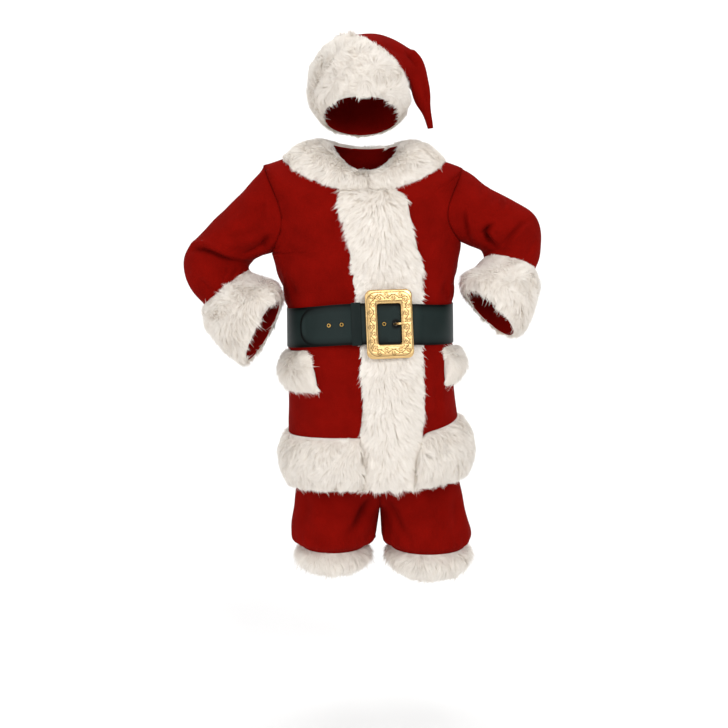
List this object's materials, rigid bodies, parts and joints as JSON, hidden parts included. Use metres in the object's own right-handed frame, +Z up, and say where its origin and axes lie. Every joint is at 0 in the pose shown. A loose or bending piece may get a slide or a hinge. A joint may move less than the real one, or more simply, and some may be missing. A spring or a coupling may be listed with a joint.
{
  "type": "santa suit",
  "caption": "Worn santa suit of red plush: belted jacket with long-pile fur trim, knee trousers with fur, and a matching fur-banded hat.",
  "frame": {"origin": "centre of the neck opening, at the top of the shoulders, where the wearer holds the suit up", "axes": "+Z up, -Y out of the suit's front, +X towards the wearer's left"},
  "size_m": [0.958, 0.3956, 1.4503],
  "materials": {
    "red_plush": "short-pile plush, soft sheen",
    "white_fur": "long-pile faux fur",
    "belt_leather": "smooth black leather, semi-gloss",
    "gold_cast": "polished gold-toned casting",
    "eyelet_brass": "polished"
  },
  "bodies": {
    "root": {"jacket_back": "red_plush", "jacket_front_right": "red_plush", "jacket_front_left": "red_plush", "sleeve_right": "red_plush", "sleeve_left": "red_plush", "trouser_waistband": "red_plush", "trouser_leg_right": "red_plush", "trouser_leg_left": "red_plush", "hat_crown": "red_plush", "collar_fur": "white_fur", "placket_fur": "white_fur", "hem_fur": "white_fur", "cuff_fur_right": "white_fur", "cuff_fur_left": "white_fur", "pocket_fur_right": "white_fur", "pocket_fur_left": "white_fur", "knee_fur_right": "white_fur", "knee_fur_left": "white_fur", "hat_fur": "white_fur", "belt_strap": "belt_leather", "belt_keeper": "belt_leather", "belt_buckle": "gold_cast", "buckle_prong": "gold_cast", "eyelet_1": "eyelet_brass", "eyelet_2": "eyelet_brass", "eyelet_3": "eyelet_brass"}
  },
  "joints": []
}
